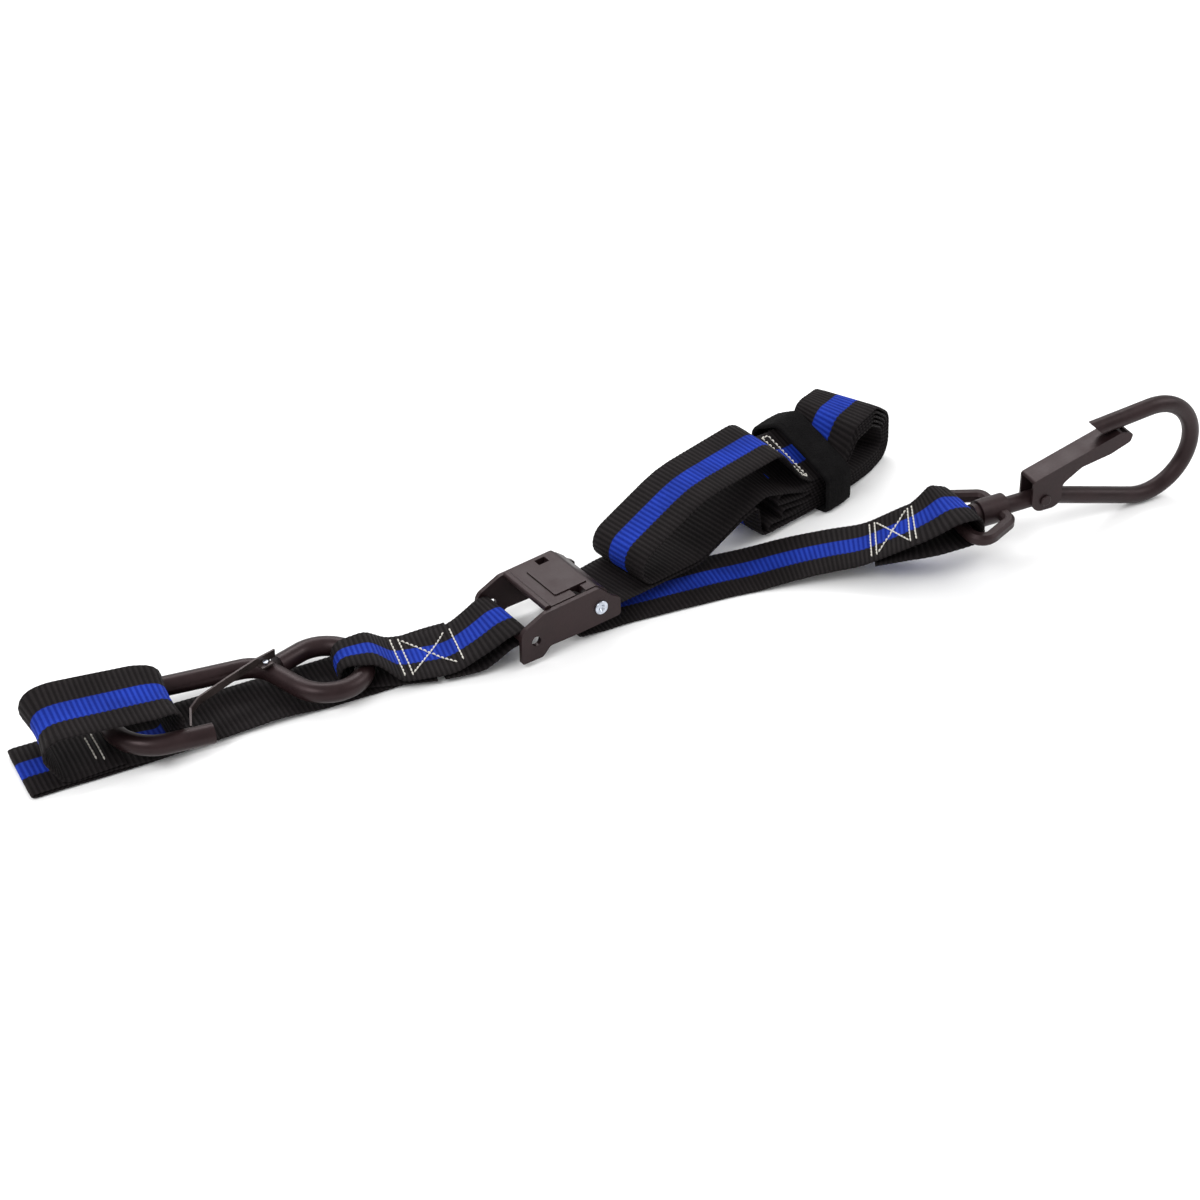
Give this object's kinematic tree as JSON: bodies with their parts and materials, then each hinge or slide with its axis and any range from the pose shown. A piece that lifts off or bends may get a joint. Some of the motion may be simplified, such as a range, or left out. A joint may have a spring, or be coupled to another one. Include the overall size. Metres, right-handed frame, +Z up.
{
  "type": "cam buckle tie-down strap",
  "caption": "Striped webbing tie-down with a thumb cam buckle, a coated S-hook on a soft loop, a swivel snap hook and a bundled tail held by a band.",
  "frame": {"origin": "middle of the footprint on the floor", "axes": "+X along the strap towards the snap hook, +Z up, +Y to the side where the bundled tail lies"},
  "size_m": [0.651, 0.1545, 0.0653],
  "materials": {
    "webbing": "matte woven polyester with a blue centre stripe",
    "thread": "matte thread",
    "hook_and_loop": "matte napped",
    "black_steel": "satin black coating",
    "bright_zinc": "bright zinc",
    "spring_steel": "dark spring steel",
    "bare_steel": "bare steel",
    "hook_coating": "satin dipped coating"
  },
  "bodies": {
    "straps_and_buckle": {"soft_loop_strap": "webbing", "soft_loop_eye": "webbing", "soft_loop_stitching": "thread", "fixed_webbing": "webbing", "fixed_webbing_stitching": "thread", "main_webbing": "webbing", "buckle_turn_webbing": "webbing", "tail_lead_webbing": "webbing", "tail_loop_webbing": "webbing", "tail_bundle_webbing": "webbing", "tail_roll_outer": "webbing", "tail_roll_inner": "webbing", "closure_band": "hook_and_loop", "band_stitching": "thread", "swivel_loop_stitching": "thread", "buckle_near_plate": "black_steel", "buckle_far_plate": "black_steel", "front_bar": "black_steel", "base_bar": "black_steel", "cam_pin": "bright_zinc", "cam_spring": "spring_steel"},
    "cam_lever": {"cam_lever": "black_steel"},
    "s_hook": {"s_hook_core": "bare_steel", "s_hook_coating": "hook_coating", "keeper_rivet": "bright_zinc"},
    "keeper": {"keeper": "spring_steel"},
    "swivel_eye": {"swivel_eye": "black_steel"},
    "snap_hook": {"snap_hook_rod": "black_steel", "gate_rivet": "black_steel", "gate_spring": "spring_steel"},
    "gate": {"gate": "black_steel"}
  },
  "joints": [
    {"name": "cam_lever_press", "type": "hinge", "parent": "straps_and_buckle", "child": "cam_lever", "pos_m": [-0.0307, -0.0228, 0.0179], "axis": [0.187, -0.981, 0.0522], "range_deg": [0, 35], "stiffness_Nm_per_rad": 0.12, "springref_deg": -28.65},
    {"name": "s_hook_lift", "type": "hinge", "parent": "straps_and_buckle", "child": "s_hook", "pos_m": [-0.1503, -0.027, 0.0092], "axis": [0, 1, 0], "range_deg": [0, 5]},
    {"name": "keeper_flex", "type": "hinge", "parent": "s_hook", "child": "keeper", "pos_m": [-0.19536, -0.0209, 0.0173], "axis": [-0.0349, 0, -0.9994], "range_deg": [0, 10], "stiffness_Nm_per_rad": 0.05, "springref_deg": -17.19},
    {"name": "swivel_tilt", "type": "hinge", "parent": "straps_and_buckle", "child": "swivel_eye", "pos_m": [0.17142, -0.05357, 0.0238], "axis": [0.061, -0.9981, 0], "range_deg": [0, 35]},
    {"name": "swivel_spin", "type": "hinge", "parent": "swivel_eye", "child": "snap_hook", "pos_m": [0.19318, -0.05224, 0.0238], "axis": [0.9981, 0.061, 0], "continuous": true},
    {"name": "gate_open", "type": "hinge", "parent": "snap_hook", "child": "gate", "pos_m": [0.22363, -0.05038, 0.0247], "axis": [-0.061, 0.9981, 0], "range_deg": [0, 28], "stiffness_Nm_per_rad": 0.08, "springref_deg": -34.38, "deforming": ["gate_spring"]}
  ]
}
